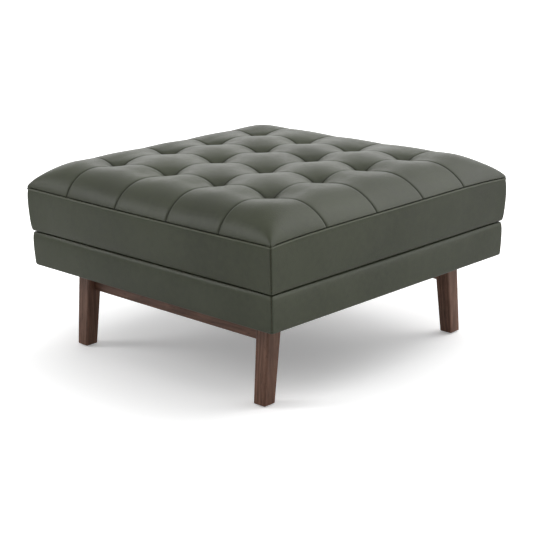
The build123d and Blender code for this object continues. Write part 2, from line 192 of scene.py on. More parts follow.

# %% [markdown]
# ## Leather
# Finished leather is a thin coat over skin. Its grain is a net of small cells about a
# millimetre across, its colour drifts a little from one part of the hide to another, and it
# shines softly where the light glances off it. Seams, grooves and the hem are darkened with
# painted shade, and raised edges and ridges are lightened with a painted highlight. One group
# makes the grain and the drift, and each leather reads the painted shade and painted highlight
# masks that its pieces carry as attributes.

# %% Leather grain group
cells_per_metre = 800.0
grain_group, grain_in, grain_out = new_group(
    "leather grain", [("Cells per metre", "NodeSocketFloat", cells_per_metre)],
    ["Height", "Drift", "Mottle"])
here = object_place(grain_group)
cells = add(grain_group, "ShaderNodeTexVoronoi", {"feature": "SMOOTH_F1"},
            Vector=here, Scale=grain_in.outputs[0])
pebble_scale = math_node(grain_group, "MULTIPLY", grain_in.outputs[0], 0.45)
pebble = add(grain_group, "ShaderNodeTexNoise", Vector=here, Scale=pebble_scale, Detail=3.0)
sunk_cells = math_node(grain_group, "MULTIPLY", cells.outputs[0], -0.7)
height = math_node(grain_group, "ADD", sunk_cells, pebble.outputs[0])
drift = add(grain_group, "ShaderNodeTexNoise", Vector=here, Scale=4.5, Detail=2.0)
mottle = add(grain_group, "ShaderNodeTexNoise", Vector=here, Scale=70.0, Detail=4.0)
link_out(grain_group, grain_out, height, drift.outputs[0], mottle.outputs[0])

# %% Leather
def leather(name, dark, light, roughness):
    """A dyed leather with grain, drift of colour, painted seam shade and painted edge
    highlights.
    """
    material, tree, output = blank_material(name)
    grain = place_group(tree, grain_group, Cells_per_metre=cells_per_metre)
    seam = add(tree, "ShaderNodeAttribute", {"attribute_name": "seam"}).outputs["Fac"]
    edge = add(tree, "ShaderNodeAttribute", {"attribute_name": "edge"}).outputs["Fac"]
    drift = remap(tree, grain.outputs["Drift"], 0.3, 0.7)
    mottle = remap(tree, grain.outputs["Mottle"], 0.25, 0.75, -0.4, 0.4)
    colour = mix_colours(tree, math_node(tree, "ADD", drift, mottle, clamp=True), dark, light)
    # Painted highlight: the edge mask lightens the raised ridge and the box's rounded top edge
    painted_edge_highlight = math_node(tree, "MULTIPLY", edge, 0.75, clamp=True)
    colour = mix_colours(tree, painted_edge_highlight, colour, tinted(light, 1.7, 0.03))
    # Painted shade: the seam mask darkens seams, grooves and the hem
    painted_seam_shade = math_node(tree, "MULTIPLY", seam, 0.92, clamp=True)
    colour = mix_colours(tree, painted_seam_shade, colour, tinted(dark, 0.12))
    rough = remap(tree, grain.outputs["Mottle"], 0.2, 0.8, roughness - 0.05, roughness + 0.06)
    rough = math_node(tree, "ADD", rough, math_node(tree, "MULTIPLY", seam, 0.35), clamp=True)
    bump = add(tree, "ShaderNodeBump", Strength=0.5, Distance=0.6 * mm,
               Height=grain.outputs["Height"])
    surface(tree, output, Base_Color=colour, Roughness=rough, Specular_IOR_Level=0.29,
            Normal=bump.outputs[0])
    return material


olive_dark = (0.037, 0.042, 0.024, 1)
olive_light = (0.053, 0.060, 0.035, 1)
cushion_leather = leather("cushion leather", olive_dark, olive_light, 0.43)
box_leather = leather("box leather", olive_dark, olive_light, 0.42)
print("leathers:", cushion_leather.name, box_leather.name)

# %% [markdown]
# ## The tufted cover
# The cover is leather squares sewn together and drawn down by twine where four corners meet.
# Each seam dives to its tufts and rises between them, while the middle of each square stays
# full. A grid is the natural start: `create_grid` makes it, with lines that crowd together at
# the seams, and one formula lays it over the cushion: flat in the middle, rolled down all
# round to the edge seam, and drawn in along the seams and at the tufts.

# %% Sizes of the cushion
crest_z = 456.5 * mm  # the top of the full squares
crown = 6.5 * mm  # how far the top falls towards the rolled edges
roll_start = 290.0 * mm  # where the top starts to roll down, from the middle
roll_reach = 111.0 * mm  # how far the roll goes out from there
edge_half = roll_start + roll_reach
edge_turn = math.radians(75)  # its turn at the edge seam
edge_seam_z = 389.5 * mm
edge_bow_out = 5.5 * mm  # how far the edge seam bows out between the corners
edge_bow_up = 7.5 * mm  # and up, on the left and the right
corner_radius = 4.0 * mm
corner_out = 2.0 * mm  # how far each corner is pulled out
lip_drop = 1.2 * mm  # the cover's hem goes down and in, behind the edge seam
lip_turn_in = 12.0 * mm
leather_thickness = 2.0 * mm
print("the cushion is", 2 * edge_half, "across, and its top", crest_z, "high")

# %% Sizes of the tufting
tuft_lines_x = [-246.0 * mm, -82.0 * mm, 82.0 * mm, 246.0 * mm]
tuft_lines_y = [-232.5 * mm, -77.5 * mm, 77.5 * mm, 232.5 * mm]
half_square = 80.0 * mm
tuft_draw = 16.0 * mm  # the wide dip round a tuft
tuft_reach = 122.0 * mm
funnel_depth = 9.0 * mm  # the narrow funnel in its middle
funnel_reach = 36.0 * mm
dome_rise = 2.8 * mm  # how far a seam lies under its squares
fold_depth = 5.0 * mm  # the fold of a seam near its tufts
fold_reach = 66.0 * mm
fold_width = 4.5 * mm
crease_depth = 2.0 * mm  # the stitched line itself
crease_width = 3.0 * mm
seam_shade = 2.2 * mm  # how far its shade reaches
print("tufts:", len(tuft_lines_x) * len(tuft_lines_y))

# %% [markdown]
# Hand tufting is never quite even. Each table holds, in millimetres, how far the tufts and
# the seam ends stand from an even place. A line runs from the left edge to the right, and the
# lines follow each other from the front edge to the back. The first table holds the shift to
# the right, the second the shift to the back, and the third how high the padding stands.

# %% Wander of the tufts
wander_x = [
    [0, -5, 3, 9, 6, 0],
    [0, -6, 4, 1, 0, 0],
    [0, -8, -7, -6, -13, 0],
    [0, -2, -7, -7, -16, 0],
    [0, 2, -6, -10, -12, 0],
    [0, 0, -1, -4, -4, 0],
]
wander_y = [
    [0, 0, 0, 0, 0, 0],
    [-4, -14, -4, -4, -10, -3],
    [-2, -5, 1, -4, 4, 2],
    [-4, -11, -2, -1, -1, 6],
    [-5, -12, -13, -10, -7, 2],
    [0, 0, 0, 0, 0, 0],
]
wander_z = [
    [6, 1, 1, 1, 2, 2],
    [4, 1, 1, 2, 3, 2],
    [1, -2, -2, -2, 3, 2],
    [-1, -4, -2, -2, 2, 2],
    [-3, -4, -5, -3, 2, 2],
    [-7, -6, -6, -4, 0, 2],
]
last_square = len(wander_x) - 2


def wander(table, across, along):
    """The wander at a place on the 5 by 5 squares, between the table's four nearest values."""
    column = min(int(across), last_square)
    row = min(int(along), last_square)
    s = across - column
    t = along - row
    near = table[row][column] * (1 - s) + table[row][column + 1] * s
    far = table[row + 1][column] * (1 - s) + table[row + 1][column + 1] * s
    return (near * (1 - t) + far * t) * mm


print("shift in the middle of the top:", wander(wander_x, 2.5, 2.5))

# %% [markdown]
# A station is one grid line of the cover, across or along: where it lies on the flat, how far
# it has turned round the rolled edge, how far it has gone down the hem, on which square it
# lies, and how far it is from each row of tufts. The lines crowd together at the seams, where
# the form changes most.

# %% Stations of the grid lines
seam_pull = 0.85  # how strongly the lines crowd at the seams
edge_pull = 0.7  # and between the last seam and the edge
arc_fullness = 1.05  # the length of the roll against a straight line
cover_steps = (24, 16, 3)  # grid lines from the last seam out, in a square, and in the hem


def crowd(share, pull):
    """Draws evenly spaced shares towards both ends."""
    return share - pull * math.sin(2 * math.pi * share) / (2 * math.pi)


def station(lines, flat, turn, lip, square, run):
    """One grid line; run is its place measured along the leather."""
    up = (math.cos(turn) - math.cos(edge_turn)) / (1 - math.cos(edge_turn))
    return {"flat": flat, "out": math.sin(turn) / math.sin(edge_turn), "up": max(0.0, up),
            "lip": lip, "square": square, "from_tufts": [abs(run - line) for line in lines]}


def outer_stations(last, outer_steps, lip_steps):
    """The values of the grid lines from the last seam out over the roll and the hem."""
    flat_run = roll_start - last
    arc_run = math.hypot(roll_reach, crest_z - edge_seam_z) * arc_fullness
    outer = []
    for step in range(outer_steps + 1):
        share = crowd(step / outer_steps, edge_pull)
        length = share * (flat_run + arc_run)
        turn = max(0.0, (length - flat_run) / arc_run) * edge_turn
        outer.append((min(last + length, roll_start), turn, 0.0, 4 + share, last + length))
    for step in range(1, lip_steps + 1):
        share = step / lip_steps
        run = last + flat_run + arc_run + share * lip_drop
        outer.append((roll_start, edge_turn, share, 5.0, run))
    return outer


def stations(lines, outer_steps, inner_steps, lip_steps):
    """The stations of all grid lines, from one edge to the other."""
    outer = outer_stations(lines[-1], outer_steps, lip_steps)
    inner = []
    for index in range(len(lines) - 1):
        for step in range(inner_steps):
            share = crowd(step / inner_steps, seam_pull)
            place = lines[index] + share * (lines[index + 1] - lines[index])
            inner.append((place, 0.0, 0.0, 1 + index + share, place))
    mirrored = [(-flat, -turn, -lip, 5 - square, -run)
                for flat, turn, lip, square, run in reversed(outer)]
    return [station(lines, *values) for values in mirrored + inner[1:] + outer]


lines_x = stations(tuft_lines_x, *cover_steps)
lines_y = stations(tuft_lines_y, *cover_steps)
print("grid lines of the cover:", len(lines_x), "by", len(lines_y))

# %% [markdown]
# The next functions are the formula itself. The first cell says how deep the twine and the
# seams draw the cover in, and how strongly a seam shows.

# %% Tufts and seams
roll_calm = 0.75  # how much of the dip the rolled edge takes away
faint_seam = 0.2  # how strongly a seam shows where it is faintest


def falloff(distance, reach, power):
    """A smooth share that is 1 at no distance and 0 from reach outwards."""
    return max(0.0, 1 - distance / reach) ** power


def tuft_dip(from_x, from_y):
    """How far the sixteen tufts together draw one point down."""
    dip = 0.0
    for x in from_x:
        for y in from_y:
            if x < tuft_reach and y < tuft_reach:
                distance = math.hypot(x, y)
                dip += tuft_draw * falloff(distance, tuft_reach, 2)
                dip += funnel_depth * falloff(distance, funnel_reach, 2)
    return dip


def seam_dip(across, along):
    """How far a seam draws the cover in: a shallow valley, and a fold near its tufts."""
    fold = fold_depth * falloff(along, fold_reach, 1.5)
    return dome_rise * falloff(across, half_square, 2) + fold * math.exp(-across / fold_width)


def whole_dip(across, along, turned):
    """How far twine and seams draw a point in, less so where the edge is rolled."""
    far_x, far_y = min(across["from_tufts"]), min(along["from_tufts"])
    dip = tuft_dip(across["from_tufts"], along["from_tufts"])
    dip += seam_dip(far_x, far_y) + seam_dip(far_y, far_x)
    dip -= fold_depth * math.exp(-(far_x + far_y) / fold_width)
    return dip * (1 - roll_calm * min(1.0, turned * 1.6) ** 2)


def seam_strength(across, along, tuft_distance):
    """How strongly a seam shows: most near its tufts and out on the rolled edge."""
    outer = max(abs(across["square"] - 2.5), abs(along["square"] - 2.5)) - 1.5
    strong = max(falloff(tuft_distance, half_square, 0.6), min(1.0, max(0.0, 1.6 * outer)))
    return faint_seam + (1 - faint_seam) * strong


print("a tuft alone draws the cover down by", tuft_dip([0.0], [0.0]))

# %% [markdown]
# Then comes where a point lies in plan and how high, before the seams draw it in. The edge
# seam bows out between the corners, and the corners are pulled out and rounded.

# %% How the cover lies
def bow(along, power=2):
    """The share of the edge's bow along one side: 1 in the middle, 0 at the ends."""
    return 1 - min(1.0, abs(along) / edge_half) ** power


def round_corner(x, y, half_x, half_y):
    """Rounds the corner of a square plan, smoothly, over its last stretch."""
    over_x = max(0.0, abs(x) - (half_x - corner_radius)) / corner_radius
    over_y = max(0.0, abs(y) - (half_y - corner_radius)) / corner_radius
    if over_x <= 0 or over_y <= 0:
        return x, y
    out_x = corner_radius * over_x * math.sqrt(1 - min(1, over_y) ** 2 / 2)
    out_y = corner_radius * over_y * math.sqrt(1 - min(1, over_x) ** 2 / 2)
    new_x = half_x - corner_radius + out_x
    new_y = half_y - corner_radius + out_y
    return math.copysign(new_x, x), math.copysign(new_y, y)


def plan_place(across, along, flat_x, flat_y, inset):
    """Where a point of the cover lies in plan."""
    roll_x, roll_y = across["out"], along["out"]
    bow_x = edge_bow_out * bow(flat_y + roll_reach * roll_y)
    bow_y = edge_bow_out * bow(flat_x + roll_reach * roll_x)
    x = flat_x + roll_x * (roll_reach + bow_x - inset)
    y = flat_y + roll_y * (roll_reach + bow_y - inset)
    x += roll_x * abs(roll_y) ** 3 * corner_out
    y += roll_y * abs(roll_x) ** 3 * corner_out
    half_x = edge_half + bow_x + abs(roll_y) ** 3 * corner_out - inset
    half_y = edge_half + bow_y + abs(roll_x) ** 3 * corner_out - inset
    x, y = round_corner(x, y, half_x, half_y)
    x -= math.copysign(1.0, x) * abs(across["lip"]) ** 3 * lip_turn_in
    y -= math.copysign(1.0, y) * abs(along["lip"]) ** 3 * lip_turn_in
    return x, y


def full_height(across, along, flat_x, flat_y, y, lip):
    """How high a point of the cover lies, and its share of the full height."""
    low_z = edge_seam_z + lip_drop + edge_bow_up * across["out"] ** 2 * bow(y, 4)
    level_x = 1 - min(1.0, abs(flat_x) / roll_start) ** 8
    level_y = 1 - min(1.0, abs(flat_y) / roll_start) ** 8
    high_z = crest_z - crown * (1 - level_x * level_y)
    high_z += wander(wander_z, across["square"], along["square"])
    both = across["up"] * along["up"]
    fullness = both / math.sqrt(max(1e-9, across["up"] ** 2 + along["up"] ** 2 - both ** 2))
    return low_z + (high_z - low_z) * fullness - lip * lip_drop, fullness


print("bow in the middle and at a corner:", bow(0.0), bow(edge_half))

# %% [markdown]
# Stuffed leather is never quite smooth: the padding swells it here and there, and puckers
# run out from each tuft. The last function puts everything together for one point.

# %% The cover's formula
broad_swell = 0.9  # the swells and puckers are in millimetres
fine_swell = 0.35
pucker_swell = 0.9
pucker_reach = 75.0 * mm
seam_calm = 15.0 * mm  # the swells fade out within this distance of a seam


def leather_relief(across, along, place, far_x, far_y, tuft_distance):
    """The swells of the padding and the puckers round a tuft, as a height."""
    broad = noise.noise(place * 9.0) * broad_swell * mm
    fine = noise.noise(place * 31.0) * fine_swell * mm
    square = Vector((math.floor(across["square"]) * 7, math.floor(along["square"]) * 5, 0))
    fan = Vector((far_x, far_y, tuft_distance / 3)) * (3.5 / (tuft_distance + 4 * mm))
    pucker = noise.noise(fan + square) * pucker_swell * mm
    return broad + fine + pucker * falloff(tuft_distance, pucker_reach, 1)


def cover_point(across, along, inset=0.0):
    """The place of one point of the cover, its mask of painted seam shade, and its lip mask.
    """
    flat_x = across["flat"] + wander(wander_x, across["square"], along["square"])
    flat_y = along["flat"] + wander(wander_y, across["square"], along["square"])
    lip = 1 - (1 - abs(across["lip"])) * (1 - abs(along["lip"]))
    x, y = plan_place(across, along, flat_x, flat_y, inset)
    z, fullness = full_height(across, along, flat_x, flat_y, y, lip)
    place = Vector((x, y, z))
    upwards = across["up"] * along["up"] + 0.05
    normal = Vector((0.6 * across["out"], 0.6 * along["out"], upwards)).normalized()
    far_x, far_y = min(across["from_tufts"]), min(along["from_tufts"])
    nearest = min(far_x, far_y)
    tuft_distance = math.hypot(far_x, far_y)
    turned = max(abs(across["out"]), abs(along["out"]))
    relief = leather_relief(across, along, place, far_x, far_y, tuft_distance)
    rise = relief * min(1.0, nearest / seam_calm) - whole_dip(across, along, turned)
    strong = seam_strength(across, along, tuft_distance)
    crease = crease_depth * strong * falloff(nearest, crease_width, 1)
    place += normal * rise * (1 - turned ** 6) * (1 - lip)
    place -= normal * crease * (1 - lip)
    place.z -= inset * max(fullness, 0.4)
    # the seam mask returned here is painted shade along the seams
    return place, falloff(nearest, seam_shade, 1) * strong, lip


print("corner of the cover's hem:", cover_point(lines_x[-1], lines_y[-1])[0])

# %% [markdown]
# One function makes any piece that is a laid-out grid: it asks a formula for each point and
# keeps the masks as attributes. Solidify then closes the sheet to a real thickness, so that
# the mesh is a closed shell of leather.

# %% Grid pieces
def mesh_object(name, shape):
    """Turns a finished bmesh into an object of the scene."""
    mesh = bpy.data.meshes.new(name)
    shape.to_mesh(mesh)
    shape.free()
    return new_object(name, mesh)


def laid_grid(name, columns, rows, formula):
    """A grid whose points a formula places; the formula gives (place, painted shade, painted
    highlight).
    """
    sheet = bmesh.new()
    bmesh.ops.create_grid(sheet, x_segments=columns, y_segments=rows, size=0.5)
    painted_shade_layer = sheet.verts.layers.float.new("seam")
    painted_highlight_layer = sheet.verts.layers.float.new("edge")
    for vert in sheet.verts:
        column = round((vert.co.x + 0.5) * columns)
        row = round((vert.co.y + 0.5) * rows)
        # the seam attribute holds painted shade, and the edge attribute a painted highlight
        vert.co, vert[painted_shade_layer], vert[painted_highlight_layer] = formula(column, row)
    for face in sheet.faces:
        face.smooth = True
    return mesh_object(name, sheet)


def shell(piece):
    """Gives a sheet of leather its thickness, inwards, and smooths it."""
    solidify = piece.modifiers.new("thickness", "SOLIDIFY")
    solidify.thickness = leather_thickness
    solidify.offset = -1.0
    smooth = piece.modifiers.new("smooth", "SUBSURF")
    smooth.levels = 1
    smooth.render_levels = 1


def fit(piece, material, slot, *stands_for):
    """Gives a piece its finish and hides the CAD nodes that it stands for; slot is not used.
    """
    piece.data.materials.append(material)
    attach(piece, "root")
    if stands_for:
        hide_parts(*stands_for)
    print(piece.name, len(piece.data.polygons), "faces before smoothing")

# %% Tufted cover
hem_shade = 0.12  # how dark the hem behind the edge seam is


def cover_formula(column, row):
    """The cover's point where two grid lines cross."""
    place, seam, lip = cover_point(lines_x[column], lines_y[row])
    # painted shade along the seams and on the hem behind the edge seam
    return place, max(seam, hem_shade * lip), 0.0


tufted_cover = laid_grid("tufted_cover", len(lines_x) - 1, len(lines_y) - 1, cover_formula)
shell(tufted_cover)
fit(tufted_cover, cushion_leather, "cushion_leather", "tufted_top")
tuft_floor = min(vert.co.z for vert in tufted_cover.data.vertices
                 if max(map(abs, vert.co[:2])) < roll_start)
twine_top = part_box("tuft_twines")[1].z
print("deepest tuft at", round(tuft_floor, 4), "and twine tops at", round(twine_top, 4))

# %% [markdown]
# ## The cushion's sides
# Four panels run round the cushion, sewn to the cover at the top and to each other at the
# corners. The foam pushes them out between the seams, and at the foot they tuck under. Each
# panel is a grid too: its rows follow the profile from the foot up to the edge seam, and its
# columns follow the side from corner to corner. Where the panel is sewn it turns in, which
# leaves the thin shaded line of a plain seam, darkened further with painted shade, and its
# folded top edge stands up as a fine ridge with a painted highlight along it. The groove at
# the foot is darkened with painted shade too.

# %% Places along a side
side_turns = {"right": 0.0, "back": 90.0, "left": 180.0, "front": 270.0}
side_columns = 88
corner_crowding = 1.6
corner_seam_depth = 0.4 * mm
corner_seam_reach = 1.6 * mm
corner_shade = 0.22
corner_shade_reach = 1.0 * mm


def side_share(column):
    """The share along a side for a column, with columns crowded at the corners."""
    share = 2 * column / side_columns - 1
    return math.copysign(1 - (1 - abs(share)) ** corner_crowding, share)


def side_place(turn, half, share):
    """The plan place at a share (-1 to 1) along one side of a rounded square."""
    straight = half - corner_radius
    along = share * (straight + corner_radius * math.pi / 4)
    if abs(along) <= straight:
        x, y = half, along
    else:
        angle = (abs(along) - straight) / corner_radius
        x = half - corner_radius + corner_radius * math.cos(angle)
        y = math.copysign(straight + corner_radius * math.sin(angle), along)
    return x * math.cos(turn) - y * math.sin(turn), x * math.sin(turn) + y * math.cos(turn)


def corner_turn_in(share):
    """How far a panel turns in at its corner seams, and the painted shade along the seam."""
    distance = (1 - abs(share)) * edge_half
    return (corner_seam_depth * falloff(distance, corner_seam_reach, 1),
            corner_shade * falloff(distance, corner_shade_reach, 1))


def pushed_out(x, y, z, turn, middle_z, reach, push):
    """A point of a side pushed outwards, most at the middle of the side's height."""
    outwards = Vector((math.cos(turn), math.sin(turn), 0.0))
    return Vector((x, y, z)) + outwards * falloff(abs(z - middle_z), reach, 1) * push


print("columns along a side:", side_columns)

# %% Cushion sides
groove_z = 283.4 * mm
cushion_middle_z = 335.0 * mm
cushion_swell_reach = 60.0 * mm
# From the foot up, in millimetres: the height over the groove or the edge seam, the half
# width and the bow in the middle; then the mask of painted shade and the mask of painted
# highlight
cushion_rows = [
    ("foot", 0.0, 366.0, 0.0, 1.0, 0),
    ("foot", -0.2, 386.0, 0.0, 1.0, 0),
    ("foot", -0.2, 391.0, 0.0, 1.0, 0),
    ("foot", 0.4, 394.4, 0.2, 0, 0),
    ("foot", 2.0, 396.6, 0.5, 0, 0),
    ("foot", 5.0, 397.8, 1.2, 0, 0),
    ("foot", 11.0, 398.8, 2.2, 0, 0),
    ("foot", 20.0, 399.8, 3.2, 0, 0),
    ("foot", 32.0, 400.8, 3.8, 0, 0),
    ("foot", 46.0, 401.6, 4.3, 0, 0),
    ("foot", 60.0, 402.2, 4.7, 0, 0),
    ("seam", -34.0, 402.5, 4.9, 0, 0),
    ("seam", -22.0, 402.3, 5.1, 0, 0),
    ("seam", -13.0, 401.8, 5.3, 0, 0),
    ("seam", -7.5, 401.2, 5.4, 0, 0),
    ("seam", -5.4, 400.9, 5.5, 0, 0),
    ("seam", -4.2, 401.9, 5.5, 0, 1.0),
    ("seam", -2.6, 402.4, 5.5, 0, 1.0),
    ("seam", -1.2, 401.6, 5.5, 0, 0),
    ("seam", -0.9, 398.6, 5.5, 0.2, 0),
    ("seam", -1.8, 386.0, 5.5, 0.2, 0),
]


def cushion_side_formula(side):
    """The formula of one cushion side."""
    turn = math.radians(side_turns[side])
    bow_up = edge_bow_up if side in ("left", "right") else 0.0

    def formula(column, row):
        base, height, half, bulge, row_painted_shade, edge = cushion_rows[row]
        share = side_share(column)
        top_z = edge_seam_z + bow_up * bow(share * edge_half, 4)
        z = height * mm + (top_z if base == "seam" else groove_z)
        half = half * mm + bulge * mm * bow(share * edge_half)
        half += corner_out * max(0.0, (abs(share) * edge_half - roll_start) / roll_reach) ** 3
        inwards, corner_painted_shade = corner_turn_in(share)
        x, y = side_place(turn, half - inwards, share)
        streak = noise.noise(Vector((x * 24.0, y * 24.0, z * 5.0 + 3.0))) * 0.5 * mm
        lump = noise.noise(Vector((x * 7.0, y * 7.0, z * 9.0))) * 1.2 * mm
        place = pushed_out(x, y, z, turn, cushion_middle_z, cushion_swell_reach,
                           streak + lump)
        # painted shade at the corner seams and in the groove; painted highlight on the ridge
        return place, max(corner_painted_shade, row_painted_shade), edge

    return formula


for side in side_turns:
    panel = laid_grid("cushion_side_" + side, side_columns, len(cushion_rows) - 1,
                      cushion_side_formula(side))
    shell(panel)
    fit(panel, cushion_leather, "cushion_leather", "boxing_" + side)

# %% [markdown]
# ## The box's leather
# The box below the cushion is a timber frame wrapped in the same leather over thin padding.
# Its panels are nearly flat, with a soft swell, a rounded top edge that catches the light and
# carries a painted highlight, and a seam at each corner. Painted shade darkens the corner
# seams, the foot and the top rows under the cushion. The corners lean out a little towards the
# top and stay squarer there.

# %% Box sides
box_foot_z = 198.0 * mm
box_height = 84.0 * mm
box_middle_z = 240.0 * mm
box_swell_reach = 40.0 * mm
folded_half = 384.0 * mm  # rows no wider than this are folded in behind the face
full_half = 397.1 * mm
squarer_from_z = 250.0 * mm
corner_lean = 2.5 * mm
# From the foot up, in millimetres: the height, the half width and the bow in the middle;
# then the mask of painted shade and the mask of painted highlight
box_rows = [
    (198.8, 370.0, 0.0, 1.0, 0),
    (198.4, 384.0, 0.0, 0, 0),
    (198.2, 390.0, 0.0, 0, 0),
    (198.5, 393.6, 0.0, 0, 0),
    (199.8, 395.6, 0.1, 0, 0),
    (202.2, 396.3, 0.2, 0, 0),
    (206.5, 396.6, 0.4, 0, 0),
    (214.0, 396.8, 0.8, 0, 0),
    (228.0, 397.1, 1.2, 0, 0),
    (242.0, 397.2, 1.3, 0, 0),
    (251.0, 397.0, 1.2, 0, 0),
    (259.5, 396.5, 1.0, 0, 0),
    (266.0, 395.7, 0.8, 0, 0),
    (271.2, 394.6, 0.6, 0, 0),
    (275.3, 393.1, 0.4, 0, 0.3),
    (278.3, 391.3, 0.2, 0, 0.3),
    (280.2, 389.3, 0.0, 0, 0),
    (281.2, 386.5, 0.0, 0, 0),
    (281.4, 383.0, 0.0, 1.0, 0),
    (281.4, 370.0, 0.0, 1.0, 0),
]


def box_side_formula(side):
    """The formula of one side of the box."""
    turn = math.radians(side_turns[side])

    def formula(column, row):
        z, half, bulge, row_painted_shade, edge = box_rows[row]
        z, half = z * mm, half * mm
        share = side_share(column)
        inwards, corner_painted_shade = corner_turn_in(share)
        if half > folded_half:
            squarer = 0.6 * (full_half - half) if z > squarer_from_z else 0.0
            lean = corner_lean * (z - box_foot_z) / box_height
            half += (1 - bow(share * edge_half, 6)) * (squarer + lean)
        half = half + bulge * mm * bow(share * edge_half) - inwards
        x, y = side_place(turn, half, share)
        streak = noise.noise(Vector((x * 21.0 + 5.0, y * 21.0, z * 6.0))) * 0.6 * mm
        place = pushed_out(x, y, z, turn, box_middle_z, box_swell_reach, streak)
        # painted shade at the corner seams, foot and top; painted highlight on the rounded top
        # edge
        return place, max(corner_painted_shade, row_painted_shade), edge

    return formula


for side in side_turns:
    panel = laid_grid("box_side_" + side, side_columns, len(box_rows) - 1,
                      box_side_formula(side))
    shell(panel)
    fit(panel, box_leather, "box_leather", "box_cover_" + side)

# %% [markdown]
# ## Walnut
# The legs and rails are solid walnut under a satin oil. The CAD meshes already have the right
# taper and soft edges, so they stay, and only the wood is made here: long streaks of darker
# and lighter grain that run along each piece, fine pores, and edges rubbed a little lighter.
# The grain and the wear are groups, so that the other woods can use them too.

# %% Wood group
wood_group, wood_in, wood_out = new_group(
    "wood grain", [("Along", "NodeSocketVector", None)], ["Streaks", "Pores", "Bands"])
along = wood_in.outputs[0]
bend = add(wood_group, "ShaderNodeTexNoise", Vector=along, Scale=0.9, Detail=2.0)
warped = add(wood_group, "ShaderNodeVectorMath", {"operation": "MULTIPLY_ADD"},
             _0=bend.outputs["Color"], _1=(0.9, 0.9, 0.9), _2=along).outputs[0]
streaks = add(wood_group, "ShaderNodeTexNoise", Vector=warped, Scale=2.4, Detail=6.0,
              Roughness=0.62)
bands = add(wood_group, "ShaderNodeTexWave", {"wave_type": "BANDS", "bands_direction": "X"},
            Vector=warped, Scale=0.55, Distortion=5.0, Detail=3.0)
pores = add(wood_group, "ShaderNodeTexNoise", Vector=warped, Scale=11.0, Detail=3.0,
            Roughness=0.5)
link_out(wood_group, wood_out, streaks.outputs[0], pores.outputs[0], bands.outputs[0])

# %% Edge wear group
wear_width = 2.0 * mm
wear_group, wear_in, wear_out = new_group(
    "edge wear", [("Width", "NodeSocketFloat", wear_width)], ["Mask"])
softened = add(wear_group, "ShaderNodeBevel", {"samples": 4}, Radius=wear_in.outputs[0])
true_normal = add(wear_group, "ShaderNodeNewGeometry").outputs["Normal"]
agreement = add(wear_group, "ShaderNodeVectorMath", {"operation": "DOT_PRODUCT"},
                _0=softened.outputs[0], _1=true_normal).outputs["Value"]
link_out(wear_group, wear_out, remap(wear_group, agreement, 0.995, 0.9))

# %% Walnut
def wood(name, scale, dark, light, roughness, wear=0.35):
    """A wood whose grain runs along one axis, given by the stretch of the pattern."""
    material, tree, output = blank_material(name)
    along = add(tree, "ShaderNodeMapping", Vector=object_place(tree), Scale=scale).outputs[0]
    grain = place_group(tree, wood_group, Along=along)
    streaks = grain.outputs["Streaks"]
    clear_streaks = remap(tree, streaks, 0.3, 0.7)
    tone = weighted_sum(tree, clear_streaks, 0.65, grain.outputs["Bands"], 0.35)
    colour = mix_colours(tree, tone, dark, light)
    pores = remap(tree, grain.outputs["Pores"], 0.42, 0.3)
    deep = math_node(tree, "MULTIPLY", pores, 0.7)
    colour = mix_colours(tree, deep, colour, tinted(dark, 0.45))
    mask = place_group(tree, wear_group, Width=wear_width).outputs[0]
    rubbed = math_node(tree, "MULTIPLY", mask, wear)
    colour = mix_colours(tree, rubbed, colour, tinted(light, 1.5))
    rough = remap(tree, streaks, 0.2, 0.8, roughness + 0.08, roughness - 0.06)
    bump = add(tree, "ShaderNodeBump", Strength=0.35, Distance=0.3 * mm,
               Height=math_node(tree, "SUBTRACT", streaks, pores))
    surface(tree, output, Base_Color=colour, Roughness=rough, Specular_IOR_Level=0.3,
            Normal=bump.outputs[0])
    return material


upright = (60.0, 60.0, 4.0)
sideways = (4.0, 60.0, 60.0)
lengthwise = (60.0, 4.0, 60.0)
walnut_dark = (0.086, 0.040, 0.025, 1)
walnut_light = (0.258, 0.134, 0.088, 1)
walnut_upright = wood("walnut legs", upright, walnut_dark, walnut_light, 0.42)
walnut_sideways = wood("walnut rails", sideways, walnut_dark, walnut_light, 0.42)
print("woods:", walnut_upright.name, walnut_sideways.name)

# %% [markdown]
# ## The hidden parts
# Frame boards, battens, plywood, padding and fasteners are covered, but the model can be
# opened up, so each gets a finish of its own kind: pale softwood, plywood, open foam, woven
# lining, twine, zinc-plated steel and dark plastic.

# %% Pine and plywood
pine_dark = (0.50, 0.34, 0.18, 1)
pine_light = (0.72, 0.54, 0.33, 1)
sawn = (0.6, 0.1)  # roughness and edge wear
pine_sideways = wood("pine boards across", sideways, pine_dark, pine_light, *sawn)
pine_lengthwise = wood("pine boards along", lengthwise, pine_dark, pine_light, *sawn)
plywood = wood("plywood", (3.0, 45.0, 300.0), (0.55, 0.40, 0.23, 1), (0.76, 0.60, 0.40, 1),
               *sawn)
print("woods:", pine_sideways.name, pine_lengthwise.name, plywood.name)

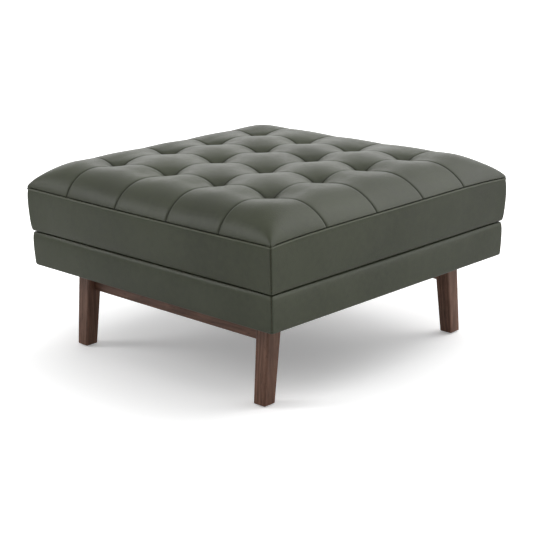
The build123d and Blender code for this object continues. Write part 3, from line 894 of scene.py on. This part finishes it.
# %% Cloth and twine
def woven(name, dark, light, threads_per_metre, roughness, sheen):
    """A plain weave: two sets of threads that pass over and under each other."""
    material, tree, output = blank_material(name)
    here = object_place(tree)
    sets = []
    for direction in ("X", "Y"):
        wave = add(tree, "ShaderNodeTexWave", {"bands_direction": direction}, Vector=here,
                   Scale=threads_per_metre / 20.0, Distortion=0.6, Detail=1.0)
        sets.append(wave.outputs[1])
    weave = math_node(tree, "MULTIPLY", sets[0], sets[1])
    fuzz = add(tree, "ShaderNodeTexNoise", Vector=here, Scale=90.0, Detail=4.0).outputs[0]
    colour = mix_colours(tree, weighted_sum(tree, weave, 0.6, fuzz, 0.5), dark, light)
    bump = add(tree, "ShaderNodeBump", Strength=0.5, Distance=0.4 * mm, Height=weave)
    surface(tree, output, Base_Color=colour, Normal=bump.outputs[0], Sheen_Weight=sheen,
            Roughness=remap(tree, fuzz, 0.2, 0.8, roughness - 0.08, roughness + 0.08))
    return material


lining = woven("lining fabric", (0.012, 0.012, 0.012, 1), (0.045, 0.045, 0.046, 1),
               900.0, 0.85, 0.2)
twine = woven("waxed twine", (0.42, 0.37, 0.26, 1), (0.66, 0.60, 0.47, 1), 2500.0, 0.7, 0.1)
print("woven finishes:", lining.name, twine.name)

# %% Foam, steel and plastic
def speckled(name, dark, light, scale, roughness, metallic, bump_depth, stretch=(1, 1, 1)):
    """A finish of fine specks: open foam, plated steel or moulded plastic."""
    material, tree, output = blank_material(name)
    place = add(tree, "ShaderNodeMapping", Vector=object_place(tree), Scale=stretch).outputs[0]
    fine = add(tree, "ShaderNodeTexVoronoi", Vector=place, Scale=scale).outputs[0]
    broad = add(tree, "ShaderNodeTexNoise", Vector=place, Scale=scale * 0.08,
                Detail=3.0).outputs[0]
    tone = weighted_sum(tree, fine, 0.5, broad, 0.6)
    bump = add(tree, "ShaderNodeBump", Strength=0.4, Distance=bump_depth, Height=fine)
    surface(tree, output, Base_Color=mix_colours(tree, tone, dark, light),
            Roughness=remap(tree, broad, 0.3, 0.7, roughness - 0.06, roughness + 0.08),
            Metallic=metallic, Normal=bump.outputs[0])
    return material


foam = speckled("open foam", (0.62, 0.57, 0.42, 1), (0.84, 0.80, 0.66, 1),
                900.0, 0.9, 0.0, 0.6 * mm)
steel = speckled("plated steel", (0.40, 0.40, 0.41, 1), (0.66, 0.66, 0.67, 1),
                 700.0, 0.35, 1.0, 0.08 * mm, (1, 1, 12))
plastic = speckled("dark plastic", (0.020, 0.018, 0.018, 1), (0.045, 0.042, 0.040, 1),
                   1400.0, 0.5, 0.0, 0.1 * mm)
print("speckled finishes:", foam.name, steel.name, plastic.name)

# %% [markdown]
# Every CAD piece that stays now gets the finish of what it is made of. The pieces are named
# in groups, so a table of how their names start is the shortest way. Where two lines fit a
# name, the later one holds.

# %% Finishes on the CAD pieces
finishes = [
    (walnut_upright, ("leg_",)),
    (walnut_sideways, ("front_rail", "back_rail")),
    (pine_lengthwise, ("frame_board_", "batten_")),
    (pine_sideways, ("frame_board_front", "frame_board_back", "corner_block_", "rail_dowels")),
    (plywood, ("deck_panel", "cushion_board")),
    (steel, ("leg_bolts", "leg_washers", "leg_nuts", "deck_screws", "frame_screws",
             "cushion_screws", "tuft_washers")),
    (twine, ("tuft_twines",)),
    (lining, ("dust_cover", "cushion_under_cover")),
    (foam, ("cushion_foam", "box_pad_")),
    (plastic, ("floor_glides",)),
]
finished = set()
for finish, starts in finishes:
    for name, node in cad_nodes.items():
        if name.startswith(starts):
            node.data.materials.clear()
            node.data.materials.append(finish)
            finished.add(name)
print("CAD pieces with a finish of their own:", len(finished))

# %% [markdown]
# ## The foam core
# The foam has the form of the cushion, drawn in by the thickness of the leather. The same
# formula makes it, with fewer grid lines and a little lower, and its border is extruded down
# to the board.

# %% Foam core
foam_steps = (20, 14, 1)
foam_inset = 8.0 * mm
board_gap = 0.3 * mm
board_top_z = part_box("cushion_board")[1].z
# For each step down the border: the drop in millimetres, and the growth in plan
border_steps = ((2.5, 0.975), (9.0, 1.0), (6.0, 1.032), (50.0, 1.0), (20.0, 0.985))
foam_x = stations(tuft_lines_x, *foam_steps)[1:-1]
foam_y = stations(tuft_lines_y, *foam_steps)[1:-1]


def foam_formula(column, row):
    """The foam's point under the cover's point."""
    return cover_point(foam_x[column], foam_y[row], foam_inset)[0], 0.0, 0.0


foam_core = laid_grid("foam_core", len(foam_x) - 1, len(foam_y) - 1, foam_formula)
core = bmesh.new()
core.from_mesh(foam_core.data)
rim = [edge for edge in core.edges if edge.is_boundary]
for drop, growth in border_steps:
    grown = bmesh.ops.extrude_edge_only(core, edges=rim)["geom"]
    rim_verts = [item for item in grown if isinstance(item, bmesh.types.BMVert)]
    rim = [item for item in grown if isinstance(item, bmesh.types.BMEdge)
           and all(vert in rim_verts for vert in item.verts)]
    for vert in rim_verts:
        vert.co.z -= drop * mm
        vert.co.x *= growth
        vert.co.y *= growth
for vert in rim_verts:
    vert.co.z = board_top_z + board_gap
bmesh.ops.contextual_create(core, geom=rim)
bmesh.ops.recalc_face_normals(core, faces=core.faces)
core.to_mesh(foam_core.data)
core.free()
fit(foam_core, foam, "foam", "cushion_foam")

# %% [markdown]
# ## The padding strips
# A strip of thin foam lies under the leather on each side of the box. Foam that is cut with a
# knife has soft edges and a face that is never quite flat, so a cube is scaled to the strip,
# cut along its length, bevelled all round and moved a little by noise. Where the leather
# rounds in at the top, the strip is pressed in with it.

# %% The space under the box's leather
leather_gap = 2.3 * mm  # from the leather's outer face to the strip
leather_profile = [(z * mm, half * mm) for z, half, *masks in box_rows
                   if half * mm > folded_half]


def half_width_at(z):
    """The leather's half width at a height, between the two nearest rows."""
    for (z_low, low), (z_high, high) in zip(leather_profile, leather_profile[1:]):
        if z <= z_high:
            share = max(0.0, (z - z_low) / (z_high - z_low))
            return low + (high - low) * share
    return leather_profile[-1][1]


print("half width at 260 mm:", round(half_width_at(260.0 * mm), 4))

# %% Padding strips
strip_cuts = 30
strip_bevel = 2.0 * mm
strip_unevenness = 0.4 * mm
long_edge = 0.5  # metres; only edges along a strip are longer
sharp_turn = 1.0  # radians; only the corners turn more

for side in side_turns:
    pad_low, pad_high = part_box("box_pad_" + side)
    strip = bmesh.new()
    bmesh.ops.create_cube(strip, size=1.0)
    bmesh.ops.scale(strip, vec=pad_high - pad_low, verts=strip.verts)
    bmesh.ops.translate(strip, vec=(pad_low + pad_high) / 2, verts=strip.verts)
    long_edges = [edge for edge in strip.edges if edge.calc_length() > long_edge]
    bmesh.ops.subdivide_edges(strip, edges=long_edges, cuts=strip_cuts)
    corners = [edge for edge in strip.edges if edge.calc_face_angle(0.0) > sharp_turn]
    bmesh.ops.bevel(strip, geom=corners, offset=strip_bevel, offset_type="OFFSET", segments=3,
                    profile=0.5, affect="EDGES", material=-1)
    strip.normal_update()
    for vert in strip.verts:
        vert.co -= vert.normal * abs(noise.noise(vert.co * 40.0)) * strip_unevenness
        most = half_width_at(vert.co.z) - leather_gap
        vert.co.x = max(-most, min(most, vert.co.x))
        vert.co.y = max(-most, min(most, vert.co.y))
    foam_strip = mesh_object("foam_strip_" + side, strip)
    foam_strip.data.shade_smooth()
    fit(foam_strip, foam, "foam", "box_pad_" + side)

# %% [markdown]
# ## The studio
# A studio for pale backgrounds is a white floor, a wide soft sky and a few soft lights. Here
# the lights are soft patches in the sky. A low wall of light far behind the ottoman makes the
# top of the leather shine. One patch for each rolled edge draws the soft band along it, and a
# low one lights the far end of the right-hand side. Two wide patches take a little light away,
# so that the left-hand side and the near end of the right-hand side keep their depth.

# %% Sky
sky_levels = ((0.0, 0.60), (0.2, 0.60), (0.4, 0.55), (0.6, 0.44), (0.8, 0.54), (1.0, 0.90))
sky_strength = 1.145

world = bpy.data.worlds.new("studio")
bpy.context.scene.world = world
world.use_nodes = True
sky = world.node_tree
sky.nodes.clear()
direction = add(sky, "ShaderNodeTexCoord").outputs["Generated"]
rise = add(sky, "ShaderNodeSeparateXYZ", Vector=direction).outputs[2]
ramp = add(sky, "ShaderNodeValToRGB", Fac=rise)
ramp.color_ramp.interpolation = "B_SPLINE"
while len(ramp.color_ramp.elements) < len(sky_levels):
    ramp.color_ramp.elements.new(0.5)
for element, (position, level) in zip(ramp.color_ramp.elements, sky_levels):
    element.position = position
    element.color = (level, level, level, 1)
print("sky levels:", [level for position, level in sky_levels])

# %% Soft lights
# For each patch: its direction, half width in degrees, level, and width over height
soft_lights = [
    ((-0.67, 0.68, 0.08), 48, 1.05, 1.7),
    ((-0.673, -0.535, 0.51), 15, 7.0, 1.0),
    ((0.22, 0.68, 0.70), 36, 2.15, 1.0),
    ((0.42, 0.90, 0.15), 34, 1.6, 1.0),
    ((0.0, -0.99, 0.1), 75, -0.34, 1.0),
    ((0.98, 0.15, 0.1), 52, -0.18, 1.0),
]


def soft_light(towards, width, level, flatness):
    """A soft patch of extra light in the sky, as a socket."""
    squeeze = (1.0, 1.0, flatness)
    aim = Vector((towards[0], towards[1], towards[2] * flatness)).normalized()
    squeezed = add(sky, "ShaderNodeVectorMath", {"operation": "MULTIPLY"},
                   _0=direction, _1=squeeze)
    levelled = add(sky, "ShaderNodeVectorMath", {"operation": "NORMALIZE"},
                   _0=squeezed.outputs[0])
    closeness = add(sky, "ShaderNodeVectorMath", {"operation": "DOT_PRODUCT"},
                    _0=levelled.outputs[0], _1=tuple(aim)).outputs["Value"]
    patch = add(sky, "ShaderNodeMapRange", {"interpolation_type": "SMOOTHSTEP"},
                Value=closeness, From_Min=math.cos(math.radians(width)), From_Max=1.0,
                To_Min=0.0, To_Max=level)
    return patch.outputs[0]


light = ramp.outputs[0]
for towards, width, level, flatness in soft_lights:
    light = math_node(sky, "ADD", light, soft_light(towards, width, level, flatness))
background = add(sky, "ShaderNodeBackground", Color=light, Strength=sky_strength)
sky_output = sky.nodes.new("ShaderNodeOutputWorld")
sky.links.new(background.outputs[0], sky_output.inputs[0])
print("soft lights in the sky:", len(soft_lights))

# %% [markdown]
# The floor is a plain grey to the ottoman, so that little light comes back up from it. To the
# camera it is white, and it takes the ottoman's shadow. A faint glow, which only the camera
# sees, grows with the distance from the ottoman, so that the floor fades to white; being
# weaker near the ottoman, it also paints a darker, tighter shadow round it.

# %% Floor
floor_half = 20.0
floor_grey = (0.5, 0.5, 0.5, 1)
white = (1.0, 1.0, 1.0, 1)
# the glow is weakest near the ottoman, a painted shadow round it, and strongest far off
glow_near, glow_far = 0.25, 0.9  # metres from the middle of the floor
glow_in_painted_shadow, most_glow = 0.20, 0.52

floor_shape = bmesh.new()
bmesh.ops.create_grid(floor_shape, x_segments=2, y_segments=2, size=floor_half)
studio_floor = mesh_object("studio_floor", floor_shape)
floor_material, floor_tree, floor_output = blank_material("studio floor")
path = add(floor_tree, "ShaderNodeLightPath")
seen = math_node(floor_tree, "MAXIMUM", path.outputs["Is Camera Ray"],
                 math_node(floor_tree, "MAXIMUM", path.outputs["Is Glossy Ray"],
                           path.outputs["Is Transmission Ray"]))
plain = add(floor_tree, "ShaderNodeBsdfDiffuse", Color=floor_grey)
from_middle = add(floor_tree, "ShaderNodeVectorMath", {"operation": "LENGTH"},
                  _0=object_place(floor_tree)).outputs["Value"]
# the glow's strength: low near the ottoman, which paints its shadow darker, high far off
lift = add(floor_tree, "ShaderNodeMapRange", {"interpolation_type": "SMOOTHSTEP"},
           Value=from_middle, From_Min=glow_near, From_Max=glow_far,
           To_Min=glow_in_painted_shadow, To_Max=most_glow).outputs[0]
shown = add(floor_tree, "ShaderNodeBsdfDiffuse", Color=white)
glow = add(floor_tree, "ShaderNodeEmission", Color=white,
           Strength=math_node(floor_tree, "MULTIPLY", lift, path.outputs["Is Camera Ray"]))
lifted = add(floor_tree, "ShaderNodeAddShader", _0=shown.outputs[0], _1=glow.outputs[0])
floor_look = add(floor_tree, "ShaderNodeMixShader", _0=seen, _1=plain.outputs[0],
                 _2=lifted.outputs[0])
floor_tree.links.new(floor_look.outputs[0], floor_output.inputs[0])
studio_floor.data.materials.append(floor_material)
print("floor:", 2 * floor_half, "m across")
